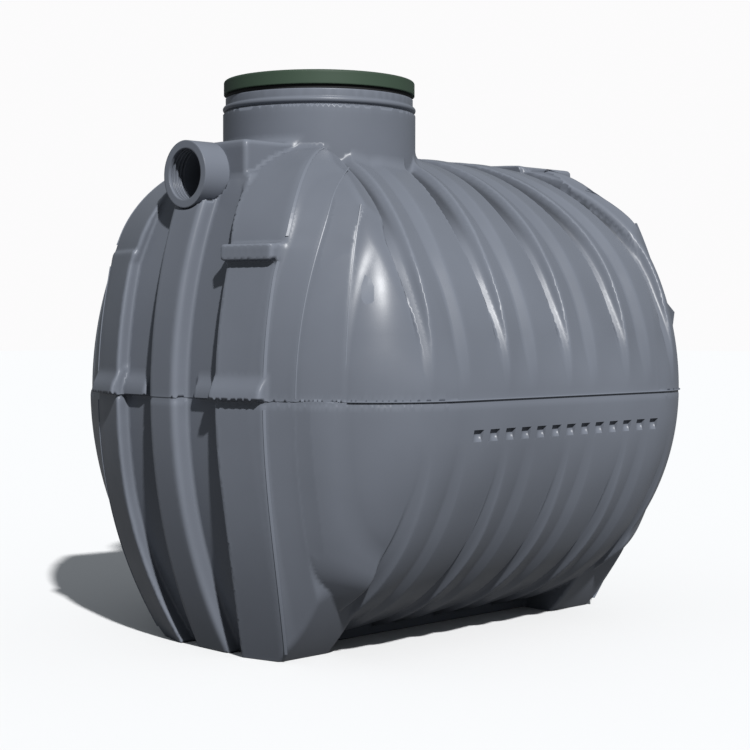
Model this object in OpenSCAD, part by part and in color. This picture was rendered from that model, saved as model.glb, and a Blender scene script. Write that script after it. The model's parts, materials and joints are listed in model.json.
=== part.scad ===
// Moulded septic tank: a horizontal ribbed barrel with dished ends, end
// blocks carrying the pipe sockets and feet, and a lidded access neck.
// Length runs along X with the inlet at -X, height along Z, floor at Z = 0.

/* [View] */
// which sub-part to draw, "all" draws every one

/* [Barrel] */
// radius of the barrel over the crests
tank_r = 550; // [500:1:620]
// half the length of the straight barrel
barrel_half = 333; // [320:1:460]
// wall thickness of the moulded shell
wall = 10; // [7:0.5:13]
// clearance between the belly and the floor
belly_gap = 8; // [4:1:20]
// spacing of the grooves round the barrel
groove_pitch = 205; // [190:1:215]
// depth of the upper grooves at the crown
groove_depth = 28; // [12:1:34]
// width of a groove at its mouth
groove_w = 56; // [40:1:70]
// lean of the grooves beside the middle one, degrees
groove_lean = 4.2; // [0:0.1:5]
// depth of the lower grooves at the belly
belly_groove_depth = 18; // [8:1:24]

/* [Rounded ends] */
// radius of the round between the barrel and an end
knuckle_r = 250; // [220:1:260]
// curve of the upper ends in side view
upper_arc_r = 750; // [720:1:800]

/* [End blocks] */
// how far the channel face stands out from the tank end
block_proud = 52; // [40:1:70]
// how far the side panels stand out from the channel face
panel_proud = 49; // [40:1:60]
// how far the centre rib stands out from the channel face
rib_proud = 36; // [20:1:50]
// width of the centre rib at its face
rib_w = 88; // [70:1:100]
// curve of the end block in side view
block_arc_r = 1200; // [1120:1:1300]
// curve of the upper panels in side view
upper_panel_r = 300; // [290:1:310]
// turn of a side panel away from the end plane, degrees
panel_turn = 15; // [12:0.5:18]
// turn of the flank beside a side panel, degrees
flank_turn = 26; // [24:0.5:28]
// turn of the cheek beside a flank, degrees
cheek_turn = 36; // [34:0.5:38]
// half width of the end block at the seam
block_half = 435; // [420:1:440]
// half width of the channelled middle at the seam
channel_half = 168; // [155:1:180]
// half width of the shoulder block under the inlet pipe
shoulder_half = 124; // [110:1:135]
// depth of the shoulder face behind the tank end
shoulder_back = 43; // [35:1:50]
// drop of the shoulder top below the crown
shoulder_drop = 5; // [3:1:10]
// depth of the back of each foot behind the tank end
foot_back = 213; // [190:1:225]
// height of a foot pad
foot_h = 110; // [80:1:140]
// height of the underside of the upper step above the seam
step_rise = 283; // [262:1:292]
// height of a step bar
step_h = 34; // [26:1:40]

/* [Access neck and lid] */
// distance from the tank middle to the neck axis
neck_x = 219; // [200:1:225]
// outer radius of the neck
neck_r = 220; // [210:1:224]
// wall thickness of the neck
neck_wall = 12; // [8:1:16]
// height of the neck top above the crown
neck_rise = 114; // [90:1:150]
// radius of the lid
lid_r = 218; // [212:1:220]
// height of the lid rim
lid_h = 31; // [26:1:40]

/* [Pipe sockets] */
// bore radius of a socket, for a pipe of 110 mm
socket_bore_r = 55; // [50:0.5:56]
// outer radius of a socket
socket_r = 72; // [70:0.5:74]
// how far a socket face stands out from the tank end
socket_out = 23; // [18:1:34]
// drop of the inlet socket axis below the crown
socket_drop = 77; // [77:1:84]
// how much lower the outlet socket sits than the inlet
outlet_drop = 30; // [0:1:40]

/* [Seam] */
// how far the parting flange stands out
flange_out = 8; // [4:1:12]
// thickness of the parting flange
flange_t = 8; // [5:1:12]
// number of moulded pockets in the row below the seam
pockets = 13; // [7:2:13]

/* [Hidden] */
$fn = 128;
far = 900;
axis_z = belly_gap + tank_r;
crown_z = axis_z + tank_r;
end_x = barrel_half + knuckle_r;
// the upper corners start this much wider, so they cross the barrel cleanly
corner_gain = 3;
corner_y = tank_r - knuckle_r + corner_gain;
groove_floor_w = 24;
channel_s = end_x + block_proud;
rib_s = channel_s + rib_proud;
rib_draft = 20;
rib_stop = 60;
panel_s = channel_s + panel_proud;
flank_s = panel_s + 9;
cheek_s = flank_s + 0.5;
cheek_r = 0.75 * block_arc_r;
upper_panel_z = crown_z - upper_panel_r - 9.5;
upper_back = 39;
upper_flank_back = 34;
upper_cheek_back = 53;
// half width of a side panel at the seam, where it meets the flank
edge_half = (flank_s * cos(panel_turn) - panel_s * cos(flank_turn))
    / sin(flank_turn - panel_turn);
block_rise = 10;
shoulder_x = end_x - shoulder_back;
shoulder_z = crown_z - shoulder_drop;
foot_back_x = end_x - foot_back;
step_z = axis_z + step_rise;
step_top = step_z + step_h;
step_in = 16;
bar_proud = 16;
bar_arc_r = 60;
bar_h = 54;
socket_z = crown_z - socket_drop;
socket_face_x = end_x + socket_out;
socket_in_x = end_x - 88;
socket_lip = 7;
neck_base = axis_z + tank_r / 2;
neck_top = crown_z + neck_rise;
collar_h = 34;
collar_in = 6;
bead_r = 6.5;
bead_z = 10;
seal_gap = 9;
lid_z = neck_top + seal_gap;
lid_slip = 0.3;
lid_round = 5;
lid_top_t = 10;
flange_clear = 60;
pocket_pitch = 49.5;
pocket_w = 31;
pocket_h = 16;
pocket_depth = 9;
pocket_mid = 20;
pocket_z = axis_z - 75;
pocket_back = sqrt(tank_r * tank_r - pow(axis_z - pocket_z, 2)) - pocket_depth;

// ---- tank body, drawn in by t so the same form gives both skins ----

// radius along X, axis along Y, for the end at +axis
module end_profile(t) {
    intersection() {
        union() {
            translate([tank_r - knuckle_r, barrel_half]) circle(r = knuckle_r - t);
            square([tank_r - t, barrel_half]);
            square([tank_r - knuckle_r, end_x - t]);
        }
        square([far, far]);
    }
}

// round body whose lower half is used
module round_body(t) {
    translate([0, 0, axis_z])
        rotate([0, 90, 0])
            rotate_extrude()
                union() {
                    end_profile(t);
                    mirror([0, 1]) end_profile(t);
                }
}

// region behind a face turned by a, at distance s from the middle
module behind(a, s, r, z) {
    rotate([0, 0, a])
        translate([r - s, 0, z])
            rotate([90, 0, 0]) cylinder(r = r, h = 2 * far, center = true, $fn = 360);
}

module slab_z(z0, z1) {
    translate([-far, -far, z0]) cube([2 * far, 2 * far, z1 - z0]);
}

module both_sides() {
    children();
    mirror([0, 1, 0]) children();
}

// middle of an upper end, its face arched back in side view
module end_middle(t) {
    intersection() {
        translate([-far, -corner_y, axis_z]) cube([far - barrel_half, 2 * corner_y, far]);
        behind(0, end_x - t, upper_arc_r - t, axis_z);
    }
}

// rounded corner of an upper end, at -X and -Y
module end_corner(t) {
    intersection() {
        translate([-barrel_half, -corner_y, axis_z])
            rotate_extrude()
                intersection() {
                    translate([knuckle_r - upper_arc_r, 0])
                        circle(r = upper_arc_r - t, $fn = 360);
                    square([far, far]);
                }
        translate([-far, -far, axis_z]) cube([far - barrel_half, far - corner_y, far]);
    }
}

module upper_body(t) {
    intersection() {
        union() {
            translate([-barrel_half, -far, axis_z]) cube([2 * barrel_half, 2 * far, far]);
            for (m = [0, 1])
                mirror([m, 0, 0]) {
                    end_middle(t);
                    both_sides() end_corner(t);
                }
        }
        translate([-far, 0, axis_z]) rotate([0, 90, 0]) cylinder(r = tank_r - t, h = 2 * far);
    }
}

module lower_body(t) {
    intersection() {
        round_body(t);
        slab_z(0, axis_z);
    }
}

module tank_body() {
    upper_body(0);
    lower_body(0);
}

// drop of a ring axis that gives depth d at the crown and none at the seam
function ring_drop(d) = (2 * tank_r * d - d * d) / (2 * (tank_r - d));

// radius of a ring about the dropped axis that meets the barrel at the seam
function ring_r(r, d) = sqrt(r * r + pow(ring_drop(d), 2));

// radius of the lower body at a distance x from the middle
function local_r(x) = abs(x) <= barrel_half ? tank_r
    : tank_r - knuckle_r + sqrt(knuckle_r * knuckle_r - pow(abs(x) - barrel_half, 2));

// lean of groove i, its top toward the middle
function lean(i) = -sign(i) * groove_lean * sqrt(abs(i));

// cutter ring with sloping sides, r to its floor
module groove_ring(r, d, t) {
    half = groove_floor_w / 2 + t / 2;
    mouth = groove_w / 2 + t;
    rotate([0, 90, 0])
        rotate_extrude()
            polygon([[r - t, -half], [r - t, half], [r + d, mouth],
                [r + 4 * d, mouth], [r + 4 * d, -mouth], [r + d, -mouth]]);
}

// upper half: grooves deepest at the crown
module upper_envelope(t) {
    difference() {
        upper_body(t);
        for (i = [-2:2])
            translate([i * groove_pitch, 0, axis_z])
                rotate([0, lean(i), 0])
                    translate([0, 0, -ring_drop(groove_depth)])
                        groove_ring(ring_r(tank_r, groove_depth), groove_depth, t);
    }
}

// lower half: shallower grooves deepest at the belly
module lower_envelope(t) {
    difference() {
        lower_body(t);
        for (i = [-2:2])
            translate([i * groove_pitch, 0, axis_z + ring_drop(belly_groove_depth)])
                groove_ring(ring_r(local_r(i * groove_pitch), belly_groove_depth),
                    belly_groove_depth, t);
    }
}

module upper_shell() {
    difference() {
        upper_envelope(0);
        upper_envelope(wall);
    }
}

module lower_shell() {
    difference() {
        lower_envelope(0);
        lower_envelope(wall);
    }
}

// wedge along the barrel between two angles, 0 toward -Y and 90 upward
module wedge(a0, a1, x0, x1) {
    translate([x0, 0, axis_z])
        rotate([90, 0, 90])
            linear_extrude(x1 - x0)
                polygon([[0, 0], [-far * cos(a0), far * sin(a0)],
                    [-1.2 * far * cos((a0 + a1) / 2), 1.2 * far * sin((a0 + a1) / 2)],
                    [-far * cos(a1), far * sin(a1)]]);
}

module neck_hole() {
    translate([-neck_x, 0, axis_z + tank_r / 5]) cylinder(r = neck_r - neck_wall, h = far);
}

// ---- upper shell ----

module barrel_crown() {
    color([0.43, 0.46, 0.5])
        difference() {
            intersection() {
                upper_shell();
                wedge(60, 120, -barrel_half, barrel_half);
            }
            neck_hole();
        }
}

module barrel_upper_left() {
    color([0.43, 0.46, 0.5])
        intersection() {
            upper_shell();
            wedge(0, 60, -barrel_half, barrel_half);
        }
}

module barrel_upper_right() {
    mirror([0, 1, 0]) barrel_upper_left();
}

module end_upper() {
    color([0.42, 0.45, 0.49])
        intersection() {
            upper_shell();
            translate([-far, -far, axis_z]) cube([far - barrel_half, 2 * far, far]);
        }
}

module inlet_end_upper() {
    difference() {
        end_upper();
        neck_hole();
        socket_way(socket_z);
    }
}

module outlet_end_upper() {
    mirror([1, 0, 0])
        difference() {
            end_upper();
            socket_way(socket_z - outlet_drop);
        }
}

// ---- lower shell ----

module pocket_row() {
    for (i = [0:pockets - 1])
        translate([pocket_mid + (i - (pockets - 1) / 2) * pocket_pitch, 0, pocket_z])
            rotate([0, 12, 0])
                translate([-pocket_w / 2, -far, -pocket_h / 2])
                    cube([pocket_w, far - pocket_back, pocket_h]);
}

module barrel_lower_left() {
    color([0.4, 0.42, 0.46])
        difference() {
            intersection() {
                lower_shell();
                wedge(-60, 0, -barrel_half, barrel_half);
            }
            pocket_row();
        }
}

module barrel_lower_right() {
    mirror([0, 1, 0]) barrel_lower_left();
}

module barrel_belly() {
    color([0.38, 0.4, 0.44])
        intersection() {
            lower_shell();
            wedge(-120, -60, -barrel_half, barrel_half);
        }
}

module inlet_end_lower() {
    color([0.4, 0.42, 0.46])
        intersection() {
            lower_shell();
            translate([-far, -far, 0]) cube([far - barrel_half, 2 * far, axis_z]);
        }
}

module outlet_end_lower() {
    mirror([1, 0, 0]) inlet_end_lower();
}

// ---- parting flange ----

module seam_flange() {
    color([0.4, 0.42, 0.46])
        difference() {
            intersection() {
                round_body(-flange_out);
                slab_z(axis_z - flange_t / 2, axis_z + flange_t / 2);
            }
            tank_body();
            for (m = [0, 1])
                mirror([m, 0, 0])
                    translate([-far, -block_half - 1, 0])
                        cube([far - barrel_half - flange_clear, 2 * block_half + 2, far]);
        }
}

// ---- end blocks, drawn for the end at -X and the side at -Y ----

// outline of the channelled middle, Y against Z
module channel_outline() {
    turn_z = 0.67 * axis_z;
    arc = 2 * tank_r;
    union() {
        intersection() {
            translate([channel_half - arc, turn_z]) circle(r = arc, $fn = 720);
            square([far, turn_z]);
        }
        polygon([[0, turn_z], [channel_half, turn_z], [channel_half, step_z],
            [shoulder_half, socket_z], [shoulder_half, shoulder_z], [0, shoulder_z]]);
    }
}

// outline of the whole end block, Y against Z
module block_outline() {
    low_arc = 1.42 * tank_r;
    high_arc = 3.17 * tank_r;
    intersection() {
        translate([block_half - low_arc, axis_z]) circle(r = low_arc, $fn = 720);
        square([far, axis_z]);
    }
    intersection() {
        translate([block_half - high_arc, axis_z]) circle(r = high_arc, $fn = 720);
        translate([0, axis_z]) square([far, shoulder_z - axis_z]);
    }
}

module along_x(x0, x1) {
    translate([x0, 0, 0]) rotate([90, 0, 90]) linear_extrude(x1 - x0) mirror([1, 0]) children();
}

// one side of the end block between its outline and the channel
module block_side() {
    along_x(-far, -foot_back_x / 2)
        difference() {
            block_outline();
            channel_outline();
        }
}

// the three turned faces of a side panel, its flank and its cheek
module block_faces() {
    intersection() {
        behind(panel_turn, panel_s, block_arc_r, axis_z);
        behind(flank_turn, flank_s, block_arc_r, axis_z);
        behind(cheek_turn, cheek_s, cheek_r, axis_z);
    }
}

// the same three faces above the step, arched tighter
module upper_faces() {
    intersection() {
        behind(panel_turn, panel_s - upper_back, upper_panel_r, upper_panel_z);
        behind(flank_turn, flank_s - upper_flank_back, upper_panel_r, upper_panel_z);
        behind(cheek_turn, cheek_s - upper_cheek_back, upper_panel_r, upper_panel_z);
    }
}

// the top of the end block runs along the barrel and ends at the first groove
module block_top() {
    intersection() {
        translate([-far, 0, axis_z])
            rotate([0, 90, 0]) cylinder(r = tank_r + block_rise, h = far);
        translate([-2 * groove_pitch, 0, axis_z])
            rotate([0, lean(-2), 0])
                translate([-far - groove_w / 2, -far, -far]) cube([far, 2 * far, 2 * far]);
    }
}

module neck_round() {
    translate([-neck_x, 0, 0]) cylinder(r = neck_r, h = 2 * far);
}

module panel_form(z0, z1) {
    difference() {
        intersection() {
            block_side();
            block_faces();
            translate([-far, -far, z0]) cube([far - foot_back_x, 2 * far, z1 - z0]);
        }
        tank_body();
    }
}

module side_panel() {
    color([0.4, 0.42, 0.46]) panel_form(foot_h, step_top);
}

module foot() {
    color([0.36, 0.38, 0.41]) panel_form(0, foot_h);
}

module upper_panel() {
    color([0.43, 0.46, 0.5])
        difference() {
            intersection() {
                block_side();
                slab_z(step_top, shoulder_z);
                block_top();
                upper_faces();
            }
            upper_body(0);
            neck_round();
        }
}

module inlet_panel_left() { side_panel(); }
module inlet_panel_right() { mirror([0, 1, 0]) side_panel(); }
module outlet_panel_left() { mirror([1, 0, 0]) side_panel(); }
module outlet_panel_right() { mirror([1, 0, 0]) mirror([0, 1, 0]) side_panel(); }

module inlet_foot_left() { foot(); }
module inlet_foot_right() { mirror([0, 1, 0]) foot(); }
module outlet_foot_left() { mirror([1, 0, 0]) foot(); }
module outlet_foot_right() { mirror([1, 0, 0]) mirror([0, 1, 0]) foot(); }

module inlet_upper_panel_left() { upper_panel(); }
module inlet_upper_panel_right() { mirror([0, 1, 0]) upper_panel(); }
module outlet_upper_panel_left() { mirror([1, 0, 0]) upper_panel(); }
module outlet_upper_panel_right() { mirror([1, 0, 0]) mirror([0, 1, 0]) upper_panel(); }

module channel_wall() {
    color([0.37, 0.39, 0.43])
        difference() {
            intersection() {
                along_x(-far, -foot_back_x)
                    union() {
                        channel_outline();
                        mirror([1, 0]) channel_outline();
                    }
                slab_z(0, socket_z);
                behind(0, channel_s, block_arc_r, axis_z);
            }
            tank_body();
            neck_round();
            socket_way(socket_z);
        }
}

module inlet_channel_wall() { channel_wall(); }

module outlet_channel_wall() {
    mirror([1, 0, 0])
        difference() {
            channel_wall();
            socket_way(socket_z - outlet_drop);
        }
}

module shoulder(z) {
    color([0.4, 0.43, 0.47])
        difference() {
            intersection() {
                translate([-shoulder_x, -shoulder_half, socket_z])
                    cube([shoulder_x, 2 * shoulder_half, shoulder_z - socket_z]);
                block_top();
            }
            upper_body(0);
            neck_round();
            socket_way(z);
        }
}

module inlet_shoulder() { shoulder(socket_z); }
module outlet_shoulder() { mirror([1, 0, 0]) shoulder(socket_z - outlet_drop); }

module centre_rib(z) {
    face = rib_w / 2;
    color([0.4, 0.42, 0.46])
        difference() {
            intersection() {
                linear_extrude(z - rib_draft)
                    polygon([[-far, rib_draft - face], [-far, face - rib_draft],
                        [-rib_s, face], [-barrel_half, face + 1.5 * rib_draft],
                        [-barrel_half, -face - 1.5 * rib_draft], [-rib_s, -face]]);
                behind(0, rib_s, block_arc_r, axis_z);
            }
            behind(0, channel_s, block_arc_r, axis_z);
            translate([-shoulder_x, -far, socket_z - rib_stop]) cube(2 * far);
            translate([-far, 0, z]) rotate([0, 90, 0]) cylinder(r = socket_r, h = far);
        }
}

module inlet_centre_rib() { centre_rib(socket_z); }
module outlet_centre_rib() { mirror([1, 0, 0]) centre_rib(socket_z - outlet_drop); }

// ---- step bars ----

// a strip of the side panel face between two heights
module panel_strip(z0, z1) {
    translate([-far, -edge_half, z0])
        cube([far - foot_back_x, edge_half - channel_half, z1 - z0]);
}

module upper_step() {
    color([0.4, 0.43, 0.47])
        difference() {
            intersection() {
                panel_strip(step_z, step_top);
                behind(panel_turn, panel_s - step_in, block_arc_r, step_z);
            }
            block_faces();
        }
}

module inlet_upper_step() { upper_step(); }
module outlet_upper_step() { rotate([0, 0, 180]) upper_step(); }

module panel_bar() {
    difference() {
        intersection() {
            panel_strip(axis_z, axis_z + bar_h);
            behind(panel_turn, panel_s + bar_proud, bar_arc_r, axis_z);
        }
        block_faces();
    }
}

module channel_bar() {
    difference() {
        intersection() {
            translate([-far, -channel_half, axis_z])
                cube([far - foot_back_x, channel_half - rib_w / 2 - rib_proud, bar_h]);
            behind(0, channel_s + bar_proud, bar_arc_r, axis_z);
        }
        behind(0, channel_s, block_arc_r, axis_z);
    }
}

module seam_bars() {
    color([0.4, 0.43, 0.47])
        both_sides() {
            panel_bar();
            channel_bar();
        }
}

module inlet_seam_bars() { seam_bars(); }
module outlet_seam_bars() { mirror([1, 0, 0]) seam_bars(); }

// ---- sockets ----

// the round way a socket takes through the shoulder and shell
module socket_way(z) {
    translate([-far, 0, z])
        rotate([0, 90, 0]) {
            cylinder(r = socket_r, h = far - shoulder_x);
            cylinder(r = socket_bore_r + socket_lip, h = far - barrel_half - 4 * wall);
        }
}

module socket(z) {
    color([0.46, 0.49, 0.53])
        translate([-socket_face_x, 0, z])
            rotate([0, 90, 0])
                difference() {
                    union() {
                        cylinder(r = socket_r, h = socket_face_x - shoulder_x);
                        cylinder(r = socket_bore_r + socket_lip, h = socket_face_x - socket_in_x);
                    }
                    translate([0, 0, -1]) cylinder(r = socket_bore_r, h = far);
                    for (i = [0:3])
                        translate([0, 0, 8 + 9 * i]) cylinder(r = socket_bore_r + 3, h = 5);
                }
}

module inlet_socket() { socket(socket_z); }
module outlet_socket() { mirror([1, 0, 0]) socket(socket_z - outlet_drop); }

// ---- access neck ----

module manhole_neck() {
    color([0.48, 0.51, 0.55])
        difference() {
            translate([-neck_x, 0, neck_base])
                rotate_extrude()
                    translate([neck_r - neck_wall, 0])
                        square([neck_wall, neck_top - neck_base - collar_h]);
            upper_envelope(0);
        }
}

module neck_collar() {
    color([0.44, 0.47, 0.51])
        translate([-neck_x, 0, neck_top - collar_h])
            rotate_extrude()
                difference() {
                    union() {
                        square([neck_r - collar_in, collar_h]);
                        translate([neck_r - collar_in, bead_z]) circle(r = bead_r, $fn = 32);
                    }
                    square([neck_r - neck_wall, far]);
                }
}

module lid_seal() {
    color([0.12, 0.12, 0.13])
        translate([-neck_x, 0, neck_top])
            rotate_extrude()
                translate([neck_r - neck_wall, 0]) square([neck_wall / 3, seal_gap]);
}

module manhole_lid() {
    color([0.29, 0.37, 0.31])
        translate([-neck_x, 0, lid_z + lid_slip])
            rotate_extrude()
                difference() {
                    union() {
                        square([lid_r, lid_h - lid_round]);
                        square([lid_r - lid_round, lid_h]);
                        translate([lid_r - lid_round, lid_h - lid_round])
                            circle(r = lid_round, $fn = 32);
                    }
                    square([neck_r - 1.5 * neck_wall, lid_h - lid_top_t]);
                }
}

barrel_crown();
barrel_upper_left();
barrel_upper_right();
inlet_end_upper();
outlet_end_upper();
barrel_lower_left();
barrel_lower_right();
barrel_belly();
inlet_end_lower();
outlet_end_lower();
seam_flange();
inlet_panel_left();
inlet_panel_right();
outlet_panel_left();
outlet_panel_right();
inlet_foot_left();
inlet_foot_right();
outlet_foot_left();
outlet_foot_right();
inlet_upper_panel_left();
inlet_upper_panel_right();
outlet_upper_panel_left();
outlet_upper_panel_right();
inlet_channel_wall();
outlet_channel_wall();
inlet_shoulder();
outlet_shoulder();
inlet_centre_rib();
outlet_centre_rib();
inlet_upper_step();
outlet_upper_step();
inlet_seam_bars();
outlet_seam_bars();
inlet_socket();
outlet_socket();
manhole_neck();
neck_collar();
lid_seal();
manhole_lid();
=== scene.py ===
import json
import math
import bmesh
import bpy
import numpy as np
from mathutils import Matrix, Vector


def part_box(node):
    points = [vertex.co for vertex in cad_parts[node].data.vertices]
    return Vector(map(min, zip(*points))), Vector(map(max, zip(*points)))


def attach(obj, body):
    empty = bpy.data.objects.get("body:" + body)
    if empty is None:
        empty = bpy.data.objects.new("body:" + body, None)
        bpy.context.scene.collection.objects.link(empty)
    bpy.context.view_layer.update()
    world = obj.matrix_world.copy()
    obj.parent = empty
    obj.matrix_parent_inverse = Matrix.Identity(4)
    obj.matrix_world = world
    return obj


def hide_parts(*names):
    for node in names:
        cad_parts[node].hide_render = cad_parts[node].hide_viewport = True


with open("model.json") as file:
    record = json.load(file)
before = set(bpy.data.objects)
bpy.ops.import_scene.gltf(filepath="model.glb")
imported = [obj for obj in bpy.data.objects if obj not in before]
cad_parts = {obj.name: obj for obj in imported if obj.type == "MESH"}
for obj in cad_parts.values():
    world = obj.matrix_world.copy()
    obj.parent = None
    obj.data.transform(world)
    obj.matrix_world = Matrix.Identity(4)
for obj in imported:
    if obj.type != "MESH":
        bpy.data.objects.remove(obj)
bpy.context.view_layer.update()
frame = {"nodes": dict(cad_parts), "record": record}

# ---------------------------------------------------------------- sizes
# The moulded skin is a distance field in millimetres, in the shared frame. +X is the
# outlet end. Both ends and both sides share one form, so most functions take X and Y
# without their signs. Heights called h are measured from the seam. The last number
# given to smax and smin is the width over which they round.


def edge(node, axis, side):
    """where a CAD node ends along an axis, in millimetres; side 0 is its low end, 1 its high"""
    return round(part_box(node)[side]["xyz".index(axis)] * 1000, 1)


def centre(node, axis):
    """the middle of a CAD node's box along an axis, in millimetres"""
    return (edge(node, axis, 0) + edge(node, axis, 1)) / 2


# the drum
AXIS_Z = edge("barrel_lower_left", "z", 1)
CROWN = edge("barrel_crown", "z", 1)
TANK_R = CROWN - AXIS_Z
BARREL = edge("barrel_crown", "x", 1)
KNUCKLE = edge("outlet_end_lower", "x", 1) - BARREL
END_ARC = 750.0
WALL = 42.0
LAP = 3.0

# the grooves
PITCH = 203.0
GROOVE_MID = 17.0
BARREL_GROOVES = range(-2, 3)
LOWER_DEPTH = 12
UPPER_CLIMB = 12.5
LOWER_CLIMB = 8

# the end blocks; a PANEL size lies along the normal of the turned front panels
CHANNEL_X = edge("outlet_channel_wall", "x", 1)
CHANNEL_HALF = edge("outlet_channel_wall", "y", 1)
CHANNEL_TOP = edge("outlet_channel_wall", "z", 1)
RIB_X = edge("outlet_centre_rib", "x", 1)
RIB_HALF = 44.0
PANEL_TURN = 15
PANEL = CHANNEL_X + 49
UPPER_PANEL = PANEL - 39
BLOCK_ARC = 1200
UPPER_ARC = 300
UPPER_Z = CROWN - UPPER_ARC - 9.5
PANEL_EDGE_Y = 288
FLANK_EDGE_X = 600
FLANK_EDGE_Y = 351
CHEEK_EDGE_X = 543
BLOCK_HALF = 435
FOOT_ARC = 782
RIM = 2 * PITCH + 14
FOOT_RIM = 368
BLOCK_BACK = edge("outlet_foot_left", "x", 0)
STEP_Z = edge("inlet_upper_step", "z", 0)
STEP_TOP = edge("inlet_upper_step", "z", 1)
HOOD_X = edge("outlet_shoulder", "x", 1)
HOOD_HALF = edge("outlet_shoulder", "y", 1)
HOOD_TOP = edge("outlet_shoulder", "z", 1)
STEP_IN = 16
BAR_PROUD = 16
BAR_ARC = 60
BAR_END = 292

# the neck, the pipe sockets, the pockets and the seam lip
NECK_X = centre("manhole_neck", "x")
NECK_R = edge("manhole_neck", "x", 1) - NECK_X
NECK_TOP = edge("manhole_neck", "z", 1)
NECK_WALL = 13
SOCKET_R = edge("outlet_socket", "y", 1)
SOCKET_BORE = SOCKET_R - 10
SOCKET_INSIDE = 373
INLET_Z = centre("inlet_socket", "z")
OUTLET_Z = centre("outlet_socket", "z")
POCKETS = 13
POCKET_PITCH = 49.5
POCKET_X = 26
POCKET_Z = 484.0
LIP_OUT = 3.4
LIP_HALF = 1.3

CELL = np.array((4.6, 7.7, 10.6)) * 1
MARGIN = 20.0
CELL_CORNERS = [(a, b, c) for a in (0, 1) for b in (0, 1) for c in (0, 1)]

# ---------------------------------------------------------------- field helpers


def smax(a, b, k):
    """the greater of two, rounded over a width k where they meet"""
    h = np.maximum(k - np.abs(a - b), 0) / k
    return np.maximum(a, b) + h * h * k * 0.25


def smin(a, b, k):
    """the lesser of two, rounded over a width k where they meet"""
    return -smax(-a, -b, k)


def step01(x, a, b):
    """smooth step from 0 at a to 1 at b"""
    t = np.clip((x - a) / (b - a), 0, 1)
    return t * t * (3 - 2 * t)


def face(t, z, s, r, zc):
    """distance outside an upright arched face, t measured along its normal"""
    return np.hypot(t - (s - r), z - zc) - r


def upper_face(t, z, s):
    """distance outside a face that is upright to UPPER_Z and then rounds over"""
    return np.hypot(t - (s - UPPER_ARC), np.maximum(z - UPPER_Z, 0)) - UPPER_ARC


def turned(ax, ay, degrees):
    """how far out a place is along a normal turned from X towards Y"""
    a = math.radians(degrees)
    return ax * math.cos(a) + ay * math.sin(a)


def sagged(z, start, r_low, r_high):
    """how far an arched crease has dropped in from its widest place"""
    h = z - AXIS_Z
    r = np.where(h < 0, r_low, r_high)
    return start - r + np.sqrt(np.maximum(r * r - h * h, 0))


def through(x, y, x0, y0, x1, y1):
    """distance outside the upright plane from one crease to the next"""
    size = np.hypot(x1 - x0, y1 - y0) + 1e-9
    return ((x - x0) * (y1 - y0) - (y - y0) * (x1 - x0)) / size


def past(x, y, x0, y0, degrees):
    """distance beyond an upright plane through a crease, its normal turned from X"""
    a = np.radians(degrees)
    return (x - x0) * np.cos(a) + (y - y0) * np.sin(a)


def bulged(x, y, x0, y0, x1, y1, r):
    """distance outside an upright round face through two creases"""
    dx, dy = x1 - x0, y1 - y0
    size = np.hypot(dx, dy) + 1e-9
    back = np.sqrt(np.maximum(r * r - size * size / 4, 1)) / size
    return np.hypot(x - (x0 + x1) / 2 + dy * back, y - (y0 + y1) / 2 - dx * back) - r


# ---------------------------------------------------------------- drum and grooves


def drum(x, y, z):
    """the plain rounded tank, before grooves and blocks"""
    ax, ay, h = np.abs(x), np.abs(y), z - AXIS_Z
    radius = np.hypot(y, h)
    # below the seam: a barrel with one round all about its ends
    ex, er = ax - BARREL, radius - (TANK_R - KNUCKLE)
    low = (np.hypot(np.maximum(ex, 0), np.maximum(er, 0)) - KNUCKLE
           + np.minimum(np.maximum(ex, er), 0))
    # above it: upright corners whose faces arch back
    ey = ay - (TANK_R - KNUCKLE)
    plan = np.hypot(np.maximum(ex, 0), np.maximum(ey, 0))
    end = np.hypot(plan + END_ARC - KNUCKLE, h) - END_ARC
    well_inside = -90.0
    end = np.where(ex > 0, end, well_inside)
    blend = 3 + 15 * step01(h, 0, 150) * step01(ax, BARREL - 6, BARREL + 60)
    up = smax(radius - TANK_R, end, blend)
    return np.where(h < 0, low, up)


def lean(h):
    """how far the outer grooves lean to the middle at a height over the seam"""
    return np.maximum(h - 250, 0) ** 2 / 1000


def groove_place(i, h):
    """X of the middle of groove i, counted from the middle one, at a height"""
    side = (i > 0) - (i < 0)
    share = (0.0, 0.8, 1.0)[abs(i)]
    place = i * PITCH - side * lean(h) * share
    return place + (GROOVE_MID if abs(i) < 2 else 0)


def groove_section(u):
    """share of a groove's depth across it, from -1 to 1: a steep side, then a slanting one"""
    steep = smin((u + 1) / 0.45, 1 - 0.3 * (u + 0.6), 0.3)
    slant = (1 - u) / 0.5 * 0.66
    return smax(smin(steep, slant, 0.2), 0.0, 0.16)


def saw_tooth(x, crests):
    """share of the climb at a place, where each rib rises from one crest's foot to the next

    A crest is the X where its fall ends and the width of that fall. Before the first
    crest the skin comes up slowly."""
    foot, band = crests[0]
    top = foot - band
    saw = np.where(x < top, np.exp(-(top - x) / 70), 0.0)
    saw = np.where((x >= top) & (x < foot), (foot - x) / band, saw)
    for (before, _), (after, band) in zip(crests[:-1], crests[1:]):
        rise = (x - before) / np.maximum(after - band - before, 1)
        inside = (x >= before) & (x < after)
        saw = np.where(inside, smin(rise, (after - x) / band, 0.2), saw)
    saw = np.maximum(saw, 0)
    return np.sqrt(saw * saw + 0.01) - 0.1


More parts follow.
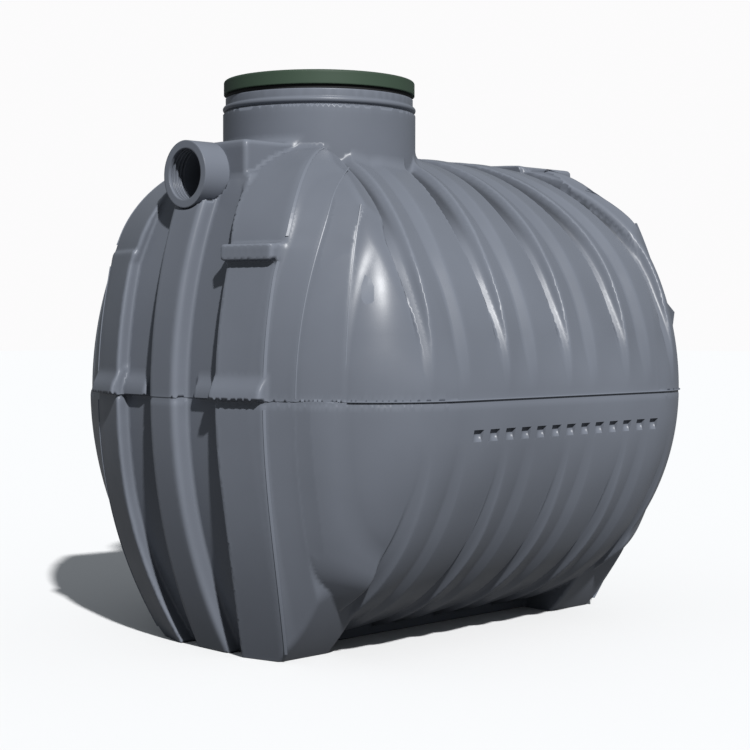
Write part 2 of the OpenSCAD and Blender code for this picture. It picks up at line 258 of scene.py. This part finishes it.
def grooved(x, y, z):
    """the tank with five grooves and, between them, ribs that climb to a sharp crest"""
    h = z - AXIS_Z
    rise = np.clip(np.abs(h) / TANK_R, 0, 1)
    upper = h > 0
    width = np.where(upper, np.minimum(5 + 30 * rise, 24), 9 + 12 * rise)
    depth = np.where(upper, width * 1.15 * step01(rise, 0.1, 0.42),
                     LOWER_DEPTH * step01(rise, 0.16, 0.8))
    upper_climb = UPPER_CLIMB * step01(rise, 0.02, 0.24) * (1 - 0.6 * step01(rise, 0.7, 0.97))
    climb = np.where(upper, upper_climb, LOWER_CLIMB * step01(rise, 0.12, 0.45))
    rib_fall = np.where(upper, 26.0, 30.0)
    crests = []
    sink = 0
    for i in BARREL_GROOVES:
        place = groove_place(i, h)
        sink = sink + depth * groove_section((x - place) / width)
        crests.append((place + width, 2 * width))
        if i < BARREL_GROOVES[-1]:
            half = (place + groove_place(i + 1, h)) / 2 - 4
            crests.append((half, rib_fall))
    return drum(x, y, z) + sink + climb * saw_tooth(x, crests)


# ---------------------------------------------------------------- end blocks


def corner_panel(z):
    """crease between front panel and flank, as X and Y"""
    normal = np.minimum(sagged(z, PANEL, BLOCK_ARC, BLOCK_ARC), PANEL)
    rise = np.clip(z - UPPER_Z, 0, UPPER_ARC - 1)
    rounded = UPPER_PANEL - UPPER_ARC + np.sqrt(UPPER_ARC ** 2 - rise ** 2)
    over = step01(z, STEP_TOP - 15, STEP_TOP + 25)
    normal = normal + (rounded - normal) * over
    low = np.clip((AXIS_Z - z) / AXIS_Z, 0, 1)
    foot_in = 73 * low ** 3
    step_out = 6 * step01(z, 800, 880)
    top_arc = 235.0
    high = np.clip(z - 870, 0, top_arc - 1)
    top_in = 0.7 * (top_arc - np.sqrt(top_arc ** 2 - high ** 2))
    y = PANEL_EDGE_Y - foot_in + step_out - top_in
    turn = math.radians(PANEL_TURN)
    return (normal - y * math.sin(turn)) / math.cos(turn), y


def corner_flank(z):
    """crease between flank and cheek"""
    crown_in = 45 * (np.maximum(z - 957, 0) / 88) ** 2
    x = sagged(z, FLANK_EDGE_X, 964, 800) - crown_in
    low = np.minimum(z - AXIS_Z, 0) / 370
    foot_in = 27 * low ** 2
    high = np.maximum(z - 700, 0) / 345
    top_in = 66 * np.minimum(high, 1.1) ** 5.5
    return x, FLANK_EDGE_Y - foot_in - top_in


def corner_cheek(z):
    """crease between cheek and dome"""
    x = sagged(z, CHEEK_EDGE_X, 900, 980)
    y = sagged(z, BLOCK_HALF, 1290, 1800)
    return x, y


def channel_half(z):
    """half the width of the channel: narrower at the foot and over the step"""
    arc = 1097
    wide_z = 376
    low = CHANNEL_HALF - (arc - np.sqrt(arc ** 2 - np.minimum(z - wide_z, 0) ** 2))
    narrowed = CHANNEL_HALF - (z - STEP_Z) * (CHANNEL_HALF - HOOD_HALF) / (CHANNEL_TOP - STEP_Z)
    return np.where(z < STEP_Z, low, np.clip(narrowed, HOOD_HALF, CHANNEL_HALF))


def block_cheek(ax, ay, z, plain, flank_corner, cheek_corner):
    """round face behind the flank, let into the dome"""
    h = z - AXIS_Z
    bow = np.where(h < 0, 180.0, 420.0)
    proud_of_drum = 27 * step01(z, 40, 320)
    cheek = smax(bulged(ax, ay, *flank_corner, *cheek_corner, bow), plain - proud_of_drum, 10)
    cheek = smax(cheek, RIM - lean(h) - ax, 12)
    behind_turn = 78
    return np.where(h > 0, smax(cheek, past(ax, ay, *cheek_corner, behind_turn), 4), cheek)


def block_faces(ax, ay, z, plain, mid):
    """front panel, flank and cheek of each quarter, from foot to crown"""
    h = z - AXIS_Z
    radius = np.hypot(ay, h)
    normal = turned(ax, ay, PANEL_TURN)
    front = smax(face(normal, z, PANEL, BLOCK_ARC, AXIS_Z), z - STEP_TOP, 10)
    above = np.maximum(upper_face(normal, z, UPPER_PANEL), AXIS_Z + 150 - z)
    front = smin(front, above, 3)
    panel_corner, flank_corner = corner_panel(z), corner_flank(z)
    start_x, start_y = panel_corner[0] - 2, panel_corner[1] - 5
    flank = through(ax, ay, start_x, start_y, *flank_corner)
    cheek = block_cheek(ax, ay, z, plain, flank_corner, corner_cheek(z))
    panel_end_turn = 56
    panel = smax(front, past(ax, ay, *panel_corner, panel_end_turn), 6)
    cheek = np.maximum(np.maximum(front, cheek), flank)
    flank_end_turn = np.where(h < 0, 78, 60)
    flank = smax(smax(front, flank, 2), past(ax, ay, *flank_corner, flank_end_turn), 3)
    foot = np.where(h < 0, np.hypot(ay - (BLOCK_HALF - FOOT_ARC), h) - FOOT_ARC, -500.0)
    both = smin(smax(smin(panel, flank, 2), foot, 6), cheek, 2)
    # the rim beside the outer groove, and the top that sinks to the barrel there
    rim = ax - (FOOT_RIM + (RIM - FOOT_RIM) * step01(h, -120, 0) - lean(h))
    risen = 11 * step01(rim, 0, 70)
    beside_neck = 9 * step01(ax, 460, 420) * step01(ay, 270, 210)
    top = TANK_R - 1 + risen + beside_neck
    both = np.where(h > 0, smax(both, radius - top, 8), both)
    both = smax(both, -rim, 12)
    both = smax(both, mid - ay, 10)
    both = np.maximum(both, -z)
    return np.maximum(both, BLOCK_BACK - ax)


def block_middle(x, ay, z, mid):
    """channel wall, flared centre rib and the hood over the pipe socket"""
    ax, radius = np.abs(x), np.hypot(ay, z - AXIS_Z)
    wall = smax(face(ax, z, CHANNEL_X, BLOCK_ARC, AXIS_Z), ay - mid - 12, 4)
    wall = smax(wall, z - CHANNEL_TOP, 10)
    flare = 0.089
    spread = RIB_HALF + flare * (RIB_X - ax)
    rib_top = CROWN - 97 - np.where(x > 0, INLET_Z - OUTLET_Z, 0)
    rib = smax(face(ax, z, RIB_X, BLOCK_ARC, AXIS_Z), ay - spread, 14)
    rib = smax(rib, z - rib_top, 10)
    hood = smax(smax(ax - HOOD_X, ay - HOOD_HALF, 12), z - HOOD_TOP, 12)
    hood = smax(smax(hood, CHANNEL_TOP - 6 - z, 4), radius - (TANK_R + 10), 6)
    hood_back = 338
    hood = np.maximum(hood, hood_back - ax)
    return smin(smin(wall, rib, 8), hood, 6)


def block_bars(x, y, z):
    """round-topped bars over the seam, and the upper step at one long side of each end"""
    ax, ay, h = np.abs(x), np.abs(y), z - AXIS_Z
    normal = turned(ax, ay, PANEL_TURN)
    strip = smax(CHANNEL_HALF - ay, ay - BAR_END, 6)
    bar = smax(np.hypot(normal - (PANEL + BAR_PROUD - BAR_ARC), h) - BAR_ARC, strip, 8)
    bar = np.maximum(bar, -h)
    short = smax(CHANNEL_HALF / 2 - ay, ay - CHANNEL_HALF, 6)
    cross = smax(np.hypot(ax - (CHANNEL_X + BAR_PROUD - BAR_ARC), h) - BAR_ARC, short, 8)
    cross = np.maximum(cross, -h)
    step = smax(face(normal, z, PANEL - STEP_IN, BLOCK_ARC, STEP_Z), strip, 8)
    step = smax(step, smax(STEP_Z - z, z - STEP_TOP, 5), 5)
    far_away = 1e3
    step = np.where(x * y > 0, step, far_away)
    bar_back = 560
    step = np.maximum(step, bar_back - ax)
    bars = smin(smin(bar, cross, 4), step, 4)
    return np.maximum(bars, bar_back - ax)


def blocks(x, y, z, plain):
    """both end blocks; plain is the distance outside the bare drum"""
    ax, ay, mid = np.abs(x), np.abs(y), channel_half(z)
    ends = smin(block_faces(ax, ay, z, plain, mid), block_middle(x, ay, z, mid), 7)
    return np.maximum(smin(ends, block_bars(x, y, z), 9), -z)


# ---------------------------------------------------------------- whole tank


def tank_skin(x, y, z):
    """the hollow tank: drum, blocks and neck, less the inside and the pipe bores"""
    body = grooved(x, y, z)
    plain = drum(x, y, z)
    high = step01(z, AXIS_Z + 60, AXIS_Z + 300)
    outer = smin(body, blocks(x, y, z, plain), 5 + 9 * high)
    away = np.hypot(x - NECK_X, y)
    neck = np.maximum(away - NECK_R, z - NECK_TOP)
    neck_foot = AXIS_Z + 300
    neck = np.maximum(neck, neck_foot - z)
    outer = smin(outer, neck, 20 * step01(z, 950, 1000) + 1)
    outer = np.maximum(outer, z - NECK_TOP)
    skin = np.maximum(outer, -(plain + WALL))
    neck_bore_foot = 900
    skin = np.maximum(skin, -np.maximum(away - (NECK_R - NECK_WALL), neck_bore_foot - z))
    for end, pipe_z in ((-1, INLET_Z), (1, OUTLET_Z)):
        pipe = np.hypot(y, z - pipe_z)
        skin = np.maximum(skin, -np.maximum(pipe - SOCKET_R, HOOD_X - end * x))
        skin = np.maximum(skin, -np.maximum(pipe - SOCKET_BORE, SOCKET_INSIDE - end * x))
    return skin


def upper_half(x, y, z):
    """the skin down to a little below the seam"""
    return np.maximum(tank_skin(x, y, z), AXIS_Z - LAP - z)


def lower_half(x, y, z):
    """the skin up to a little above the seam, drawn in where the two overlap"""
    lap_foot = AXIS_Z - LAP
    inset = 1.6 * step01(z, lap_foot - 9, lap_foot - 1)
    return np.maximum(tank_skin(x, y, z) + inset, z - AXIS_Z - LAP)


# ---------------------------------------------------------------- meshing the skin


def grid_values(field, axes):
    """the field at every point of a grid, slab by slab to spare memory"""
    data = np.empty([len(axis) for axis in axes], np.float32)
    slab = 24
    for i in range(0, len(axes[0]), slab):
        gx, gy, gz = np.meshgrid(axes[0][i:i + slab], axes[1], axes[2], indexing="ij")
        data[i:i + slab] = field(gx, gy, gz)
    return data


def surface_cells(solid):
    """the cells of the grid that the surface passes through"""
    shape = [n - 1 for n in solid.shape]
    total = np.zeros(shape, np.int8)
    for a, b, c in CELL_CORNERS:
        total += solid[a:a + shape[0], b:b + shape[1], c:c + shape[2]]
    return np.argwhere((total > 0) & (total < len(CELL_CORNERS)))


def crossing_middles(data, cells):
    """the middle of the places where the surface crosses the edges of each cell"""
    place = np.zeros((len(cells), 3), np.float64)
    hits = np.zeros(len(cells))
    for p in CELL_CORNERS:
        for axis in range(3):
            if p[axis]:
                continue
            q = list(p)
            q[axis] = 1
            d0 = data[tuple((cells + p).T)]
            d1 = data[tuple((cells + q).T)]
            cross = (d0 < 0) != (d1 < 0)
            share = np.where(cross, d0 / np.where(cross, d0 - d1, 1), 0)
            spot = np.array(p, float) + share[:, None] * np.eye(3)[axis]
            place += spot * cross[:, None]
            hits += cross
    return place / hits[:, None]


def differences(field, points, step):
    """change of the field across each point, from a step before to a step after, by axis"""
    return np.stack([field(*(points + e).T) - field(*(points - e).T)
                     for e in step * np.eye(3)], 1)


def pulled(points, field, cell):
    """the points brought onto the surface, but not far from where they were"""
    start = points.copy()
    for _ in range(3):
        value = field(*points.T)
        slope = differences(field, points, 0.5)
        size = np.maximum((slope ** 2).sum(1), 0.15)
        move = -(value / size)[:, None] * slope
        reach = np.linalg.norm(move, axis=1)[:, None]
        points = points + move * np.minimum(1, 0.45 * cell.min() / np.maximum(reach, 1e-9)) * 0.9
    points = start + np.clip(points - start, -1.2 * cell, 1.2 * cell)
    points[:, 2] = np.maximum(points[:, 2], 0)
    return points


def surface_quads(solid, cells):
    """a quad of four cells round every edge of the grid that the surface crosses"""
    shape = [n - 1 for n in solid.shape]
    number = np.full(shape, -1, np.int32)
    number[tuple(cells.T)] = np.arange(len(cells))
    unit = np.eye(3, dtype=int)
    quads = []
    for axis in range(3):
        u, v = (axis + 1) % 3, (axis + 2) % 3
        near = [slice(None)] * 3
        after = [slice(None)] * 3
        near[axis] = slice(0, -1)
        after[axis] = slice(1, None)
        spots = np.argwhere(solid[tuple(near)] != solid[tuple(after)])
        keep = (spots[:, u] > 0) & (spots[:, v] > 0) & (spots[:, u] < shape[u]) \
            & (spots[:, v] < shape[v])
        spots = spots[keep]
        around = (-unit[u] - unit[v], -unit[v], 0 * unit[u], -unit[u])
        ring = np.stack([number[tuple((spots + step).T)] for step in around], 1)
        inward = ~solid[tuple(spots.T)]
        ring[inward] = ring[inward][:, ::-1]
        quads.append(ring)
    return np.concatenate(quads)


def new_object(name, mesh):
    obj = bpy.data.objects.new(name, mesh)
    bpy.context.scene.collection.objects.link(obj)
    return obj


def field_mesh(name, field, low, high, cell):
    """closed mesh of smooth quads on the surface where the field is zero"""
    count = [int(math.ceil((b - a) / c)) + 1 for a, b, c in zip(low, high, cell)]
    axes = [a + c * np.arange(n, dtype=np.float32) for a, n, c in zip(low, count, cell)]
    data = grid_values(field, axes)
    solid = data < 0
    cells = surface_cells(solid)
    points = np.array(low) + cell * (cells + crossing_middles(data, cells))
    points = pulled(points, field, cell)
    quads = surface_quads(solid, cells)
    mesh = bpy.data.meshes.new(name)
    mesh.vertices.add(len(points))
    mesh.vertices.foreach_set("co", (points / 1000).astype(np.float32).ravel())
    mesh.loops.add(len(quads) * 4)
    mesh.loops.foreach_set("vertex_index", quads.astype(np.int32).ravel())
    mesh.polygons.add(len(quads))
    mesh.polygons.foreach_set("loop_start", np.arange(0, len(quads) * 4, 4, dtype=np.int32))
    mesh.polygons.foreach_set("use_smooth", np.ones(len(quads), bool))
    mesh.update(calc_edges=True)
    mesh.validate()
    return new_object(name, mesh)


# ---------------------------------------------------------------- added pieces


def solid_mesh(name, points, faces):
    """object from points in millimetres, its faces turned outwards"""
    mesh = bpy.data.meshes.new(name)
    mesh.from_pydata([tuple(c / 1000 for c in p) for p in points], [], faces)
    form = bmesh.new()
    form.from_mesh(mesh)
    bmesh.ops.recalc_face_normals(form, faces=form.faces)
    form.to_mesh(mesh)
    form.free()
    return new_object(name, mesh)


def swept(name, rows):
    """closed bar through rows of section points"""
    n = len(rows[0])
    points = [p for row in rows for p in row]
    faces = []
    for i in range(len(rows) - 1):
        for k in range(n):
            a, b = i * n + k, i * n + (k + 1) % n
            faces.append((a, b, b + n, a + n))
    last = (len(rows) - 1) * n
    faces += [list(range(n))[::-1], [last + k for k in range(n)]]
    return solid_mesh(name, points, faces)


def crease_line(name, corner, z0, z1, turn, wide, end, side):
    """raised line down one crease of an end block, with its root sunk in the block"""
    c, s = math.cos(math.radians(turn)), math.sin(math.radians(turn))
    root, shoulder, crest = -5, 0.2, 0.6
    section = ((-0.5, root), (-0.5, shoulder), (0.0, crest),
               (wide, crest), (wide + 0.5, shoulder), (wide + 0.5, root))
    rows = []
    spacing = 12
    for z in np.linspace(z0, z1, int(abs(z1 - z0) / spacing) + 2):
        x, y = (float(v) for v in corner(np.array(z)))
        rows.append([(end * (x - s * across + c * out), side * (y + c * across + s * out),
                      float(z)) for across, out in section])
    return swept(name, rows)


def seam_lip(name, side):
    """thin parting lip along one long side, from end block to end block"""
    steps = 48
    first_turn, last_turn = 34, 90
    plan = []
    for i in range(steps + 1):
        a = math.radians(first_turn + (last_turn - first_turn) * i / steps)
        plan.append((-BARREL - math.cos(a) * KNUCKLE, TANK_R - KNUCKLE + math.sin(a) * KNUCKLE,
                     -math.cos(a), math.sin(a)))
    plan += [(-x, y, -nx, ny) for x, y, nx, ny in reversed(plan)]
    root, shoulder = -6, LIP_OUT - 0.8
    section = ((root, -LIP_HALF), (shoulder, -LIP_HALF), (LIP_OUT, -0.5), (LIP_OUT, 0.5),
               (shoulder, LIP_HALF), (root, LIP_HALF))
    rows = [[(x + nx * out, side * (y + ny * out), AXIS_Z + z) for out, z in section]
            for x, y, nx, ny in plan]
    return swept(name, rows)


def pocket_cutter():
    """scoops in a row below the seam on both sides, deepest along their tops"""
    # along the tank from and to, height, depth into the skin
    section = ((-15, 15, 12, 13), (-15, 15, 12, -30), (-19, 11, -13, -30), (-19, 11, -13, 2))
    box = [(0, 2, 4, 6), (7, 5, 3, 1), (0, 1, 3, 2), (2, 3, 5, 4), (4, 5, 7, 6), (6, 7, 1, 0)]
    points, faces = [], []
    for side in (-1, 1):
        for i in range(POCKETS):
            mid = POCKET_X + (i - POCKETS // 2) * POCKET_PITCH
            start = len(points)
            for x0, x1, z, deep in section:
                out = math.sqrt(TANK_R ** 2 - (AXIS_Z - POCKET_Z - z) ** 2)
                points += [(mid + x, side * (out - deep), POCKET_Z + z) for x in (x0, x1)]
            for f in box:
                faces.append([start + k for k in (f if side < 0 else f[::-1])])
    obj = solid_mesh("pocket_cutter", points, faces)
    obj.hide_render = True
    obj.hide_viewport = True
    return obj


# ---------------------------------------------------------------- finishing the skin


def vertex_places(mesh):
    """the vertices in millimetres"""
    co = np.empty(len(mesh.vertices) * 3, np.float32)
    mesh.vertices.foreach_get("co", co)
    return co.reshape(-1, 3).astype(float) * 1000


def thin_and_cut(obj, cutter):
    """thins the unseen inner skin and cuts the pockets, if a cutter is given"""
    inner = np.nonzero(drum(*vertex_places(obj.data).T) < 3 - WALL)[0]
    group = obj.vertex_groups.new(name="inner")
    group.add([int(i) for i in inner], 1.0, "REPLACE")
    most_faces = 94000
    thin = obj.modifiers.new("thin", "DECIMATE")
    thin.ratio = min(1, most_faces / len(obj.data.polygons))
    thin.vertex_group = "inner"
    if cutter:
        cut = obj.modifiers.new("pockets", "BOOLEAN")
        cut.operation = "DIFFERENCE"
        cut.solver = "EXACT"
        cut.object = cutter
    bpy.context.view_layer.update()
    graph = bpy.context.evaluated_depsgraph_get()
    done = bpy.data.meshes.new_from_object(obj.evaluated_get(graph), depsgraph=graph)
    obj.modifiers.clear()
    obj.vertex_groups.clear()
    obj.data = done


def shade_from_field(mesh, points, field):
    """normals taken from the field, except where the skin has left it, as in the pockets"""
    slope = differences(field, points, 0.6)
    size = np.linalg.norm(slope, axis=1)
    size[size < 1e-6] = 1
    slope /= size[:, None]
    slope[np.abs(field(*points.T)) > 0.6] = 0
    mesh.normals_split_custom_set_from_vertices(slope.tolist())


def paint_groove_shade(mesh, points):
    """painted shade: how far the skin is darkened deep in the grooves near the crown, and nowhere
    else
    """
    outside = grooved(*points.T)
    painted_groove_shade = step01(outside - drum(*points.T), 9, 20) \
        * step01(points[:, 2], AXIS_Z + 300, AXIS_Z + 430)
    painted_groove_shade[np.abs(outside) > 2] = 0
    layer = mesh.attributes.new("painted_groove_shade", "FLOAT", "POINT")
    layer.data.foreach_set("value", painted_groove_shade.astype(np.float32))


def finish_skin(obj, field, cutter=None):
    thin_and_cut(obj, cutter)
    points = vertex_places(obj.data)
    shade_from_field(obj.data, points, field)
    # paints shade into the grooves near the crown
    paint_groove_shade(obj.data, points)


# ---------------------------------------------------------------- building

side_x = PANEL + 2 + MARGIN
side_y = TANK_R + MARGIN
upper = field_mesh("upper_moulding", upper_half, (-side_x, -side_y, AXIS_Z - MARGIN),
                   (side_x, side_y, NECK_TOP + MARGIN), CELL)
lower = field_mesh("lower_moulding", lower_half, (-side_x, -side_y, -MARGIN),
                   (side_x, side_y, AXIS_Z + MARGIN), CELL)
cutter = pocket_cutter()
finish_skin(upper, upper_half)
finish_skin(lower, lower_half, cutter)
bpy.data.objects.remove(cutter)

ENDS = ((-1, "inlet"), (1, "outlet"))
SIDES = ((-1, "left"), (1, "right"))
# name, crease, height from and to, turn of the line about it, width
CREASE_LINES = (
    ("panel_edge", corner_panel, STEP_Z, 600, 52, 6),
    ("panel_edge_low", corner_panel, 540, 20, 46, 5),
    ("panel_edge_top", corner_panel, 890, 1092, 52, 6),
    ("flank_edge", corner_flank, 562, 1040, 54, 1.8),
    ("cheek_edge", corner_cheek, 562, 955, 54, 1.8))
lips = [seam_lip("seam_lip_" + side_name, side) for side, side_name in SIDES]
lines = [crease_line(end_name + "_" + side_name + "_" + name, *crease, end, side)
         for end, end_name in ENDS for side, side_name in SIDES for name, *crease in CREASE_LINES]

# ---------------------------------------------------------------- materials


def new_material(name):
    mat = bpy.data.materials.new(name)
    mat.use_nodes = True
    nodes, links = mat.node_tree.nodes, mat.node_tree.links
    nodes.clear()
    out = nodes.new("ShaderNodeOutputMaterial")
    bsdf = nodes.new("ShaderNodeBsdfPrincipled")
    links.new(bsdf.outputs["BSDF"], out.inputs["Surface"])
    return mat, nodes, links, bsdf


def ramp(nodes, links, fac, stops):
    """colours blended from stop to stop along a factor"""
    node = nodes.new("ShaderNodeValToRGB")
    while len(node.color_ramp.elements) < len(stops):
        node.color_ramp.elements.new(0.5)
    for element, (pos, color) in zip(node.color_ramp.elements, stops):
        element.position = pos
        element.color = (*color, 1)
    links.new(fac, node.inputs["Fac"])
    return node.outputs["Color"]


def noise(nodes, links, coords, scale, detail=3.0, rough=0.5):
    node = nodes.new("ShaderNodeTexNoise")
    node.inputs["Scale"].default_value = scale
    node.inputs["Detail"].default_value = detail
    node.inputs["Roughness"].default_value = rough
    links.new(coords, node.inputs["Vector"])
    return node.outputs["Fac"]


def tinted(nodes, links, factor, under, color):
    """an input color mixed towards a plain one by a factor"""
    mix = nodes.new("ShaderNodeMix")
    mix.data_type = "RGBA"
    links.new(factor, mix.inputs["Factor"])
    links.new(under, mix.inputs["A"])
    mix.inputs["B"].default_value = (*color, 1)
    return mix.outputs["Result"]


def shade_of(color, share):
    return tuple(c * share for c in color)


def moulded_color(nodes, links, coords, color, edge):
    """faintly clouded, lighter along edges, and darkened with painted shade where the skin is
    marked in the grooves near the crown
    """
    broad = noise(nodes, links, coords, 2.3, 4)
    base = ramp(nodes, links, broad, [(0.3, shade_of(color, 0.9)), (0.7, shade_of(color, 1.1))])
    geometry = nodes.new("ShaderNodeNewGeometry")
    wear = ramp(nodes, links, geometry.outputs["Pointiness"],
                [(0.5, (0, 0, 0)), (0.56, (edge, edge, edge))])
    worn = tinted(nodes, links, wear, base, shade_of(color, 1.6))
    # painted shade: the marked grooves near the crown are darkened to stand in for the shade that
    # falls in them
    painted_shade_node = nodes.new("ShaderNodeAttribute")
    painted_shade_node.attribute_name = "painted_groove_shade"
    return tinted(nodes, links, painted_shade_node.outputs["Fac"], worn, shade_of(color, 0.42))


def moulded_normal(nodes, links, coords, grain, bevel):
    """fine grain, over softened edges if a bevel is given"""
    fine = noise(nodes, links, coords, 900, 2, 0.6)
    bump = nodes.new("ShaderNodeBump")
    bump.inputs["Strength"].default_value = grain
    bump.inputs["Distance"].default_value = 0.0006
    links.new(fine, bump.inputs["Height"])
    if bevel:
        soft = nodes.new("ShaderNodeBevel")
        soft.samples = 6
        soft.inputs["Radius"].default_value = bevel
        links.new(soft.outputs["Normal"], bump.inputs["Normal"])
    return bump.outputs["Normal"]


def moulded(name, color, rough=0.33, edge=0.3, grain=0.12, bevel=0.004, shine=0.23):
    """moulded plastic or rubber"""
    mat, nodes, links, bsdf = new_material(name)
    coords = nodes.new("ShaderNodeTexCoord").outputs["Object"]
    skin = moulded_color(nodes, links, coords, color, edge)
    links.new(skin, bsdf.inputs["Base Color"])
    patches = ramp(nodes, links, noise(nodes, links, coords, 14, 4),
                   [(0.3, (rough - 0.04,) * 3), (0.7, (rough + 0.05,) * 3)])
    links.new(patches, bsdf.inputs["Roughness"])
    bsdf.inputs["Specular IOR Level"].default_value = shine
    links.new(moulded_normal(nodes, links, coords, grain, bevel), bsdf.inputs["Normal"])
    return mat


GREY = (0.133, 0.146, 0.174)
MATERIALS = {
    "tank_shell": moulded("tank_grey", GREY, bevel=0),
    "block_shell": moulded("block_grey", shade_of(GREY, 0.97)),
    "neck_shell": moulded("neck_grey", GREY),
    "socket_shell": moulded("socket_grey", GREY),
    "lid_green": moulded("lid_green", (0.034, 0.056, 0.038), rough=0.6),
    "seal_rubber": moulded("seal_black", (0.012, 0.012, 0.013), rough=0.7),
}
slots = {row["node"]: row["material_slot"] for row in frame["record"]["subparts"]}
for name in frame["nodes"]:
    obj = bpy.data.objects[name]
    obj.data.materials.clear()
    obj.data.materials.append(MATERIALS[slots[name]])

# ---------------------------------------------------------------- bodies and slots
# The two mouldings meet inside the nodes of SHARED, so both stand in for them.


def at_both_ends(names):
    return [end + "_" + name for name in names for end in ("inlet", "outlet")]


SHARED = ["panel_left", "panel_right", "channel_wall", "centre_rib"]
UPPER = ["end_upper", "upper_panel_left", "upper_panel_right", "shoulder", "upper_step",
         "seam_bars"]
LOWER = ["end_lower", "foot_left", "foot_right"]
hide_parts("barrel_crown", "barrel_upper_left", "barrel_upper_right", "manhole_neck",
            *at_both_ends(UPPER), *at_both_ends(SHARED))
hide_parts("barrel_lower_left", "barrel_lower_right", "barrel_belly",
            *at_both_ends(LOWER), *at_both_ends(SHARED))
for piece in [upper, lower, *lips, *lines]:
    piece.data.materials.append(MATERIALS["tank_shell"])
    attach(piece, "tank")
for lip in lips:
    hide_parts("seam_flange")

# ---------------------------------------------------------------- stage

CAMERA_LENS = 78.87
CAMERA_PLACE = (-2.75497, -2.81107, 0.72073)
CAMERA_FORWARD = (0.69425, 0.71895, -0.03352)
CAMERA_UP = (0.02211, 0.02525, 0.99944)
SUN_FORWARD = (0.332, 0.695, -0.637)
SUN_STRENGTH = 4.6
FILL_STRENGTH = 0.22
WHITE_GROUND = 0.86
DARK_GROUND = 0.17


def look(obj, place, forward, up):
    """stands an object at a place, facing forward"""
    f = Vector(forward).normalized()
    r = f.cross(Vector(up)).normalized()
    u = r.cross(f)
    obj.matrix_world = Matrix((
        (r.x, u.x, -f.x, place[0]), (r.y, u.y, -f.y, place[1]),
        (r.z, u.z, -f.z, place[2]), (0, 0, 0, 1)))


def add_camera():
    cam = bpy.data.cameras.new("camera")
    cam.lens = CAMERA_LENS
    cam.sensor_width = 36
    camera = new_object("camera", cam)
    look(camera, CAMERA_PLACE, CAMERA_FORWARD, CAMERA_UP)
    bpy.context.scene.camera = camera


def add_floor():
    """matt floor, pale to the camera but dark to the light that bounces off it"""
    bpy.ops.mesh.primitive_plane_add(size=60, location=(0, 0, 0))
    floor = bpy.context.object
    floor.name = "floor"
    ground, nodes, links, bsdf = new_material("floor_white")
    bsdf.inputs["Roughness"].default_value = 0.9
    bsdf.inputs["Specular IOR Level"].default_value = 0.0
    seen = nodes.new("ShaderNodeMix")
    seen.data_type = "RGBA"
    seen.inputs["A"].default_value = (*[DARK_GROUND] * 3, 1)
    seen.inputs["B"].default_value = (*[WHITE_GROUND] * 3, 1)
    path = nodes.new("ShaderNodeLightPath")
    links.new(path.outputs["Is Camera Ray"], seen.inputs["Factor"])
    links.new(seen.outputs["Result"], bsdf.inputs["Base Color"])
    floor.data.materials.append(ground)


def add_sun():
    sun = bpy.data.lights.new("key", "SUN")
    sun.energy = SUN_STRENGTH
    sun.angle = math.radians(2.0)
    key = new_object("key", sun)
    look(key, (-3, -5, 5), SUN_FORWARD, (0, 0, 1))


def light_world():
    """white to the camera, a soft blue fill to everything else"""
    world = bpy.data.worlds.new("studio")
    bpy.context.scene.world = world
    world.use_nodes = True
    nodes, links = world.node_tree.nodes, world.node_tree.links
    nodes.clear()
    out = nodes.new("ShaderNodeOutputWorld")
    fill = nodes.new("ShaderNodeBackground")
    fill.inputs["Color"].default_value = (0.86, 0.93, 1.0, 1)
    fill.inputs["Strength"].default_value = FILL_STRENGTH
    white = nodes.new("ShaderNodeBackground")
    white.inputs["Color"].default_value = (0.97, 0.965, 0.97, 1)
    white.inputs["Strength"].default_value = 1.0
    path = nodes.new("ShaderNodeLightPath")
    mix = nodes.new("ShaderNodeMixShader")
    links.new(path.outputs["Is Camera Ray"], mix.inputs["Fac"])
    links.new(fill.outputs[0], mix.inputs[1])
    links.new(white.outputs[0], mix.inputs[2])
    links.new(mix.outputs[0], out.inputs["Surface"])


add_camera()
add_floor()
add_sun()
light_world()
bpy.context.scene.view_settings.view_transform = "Standard"
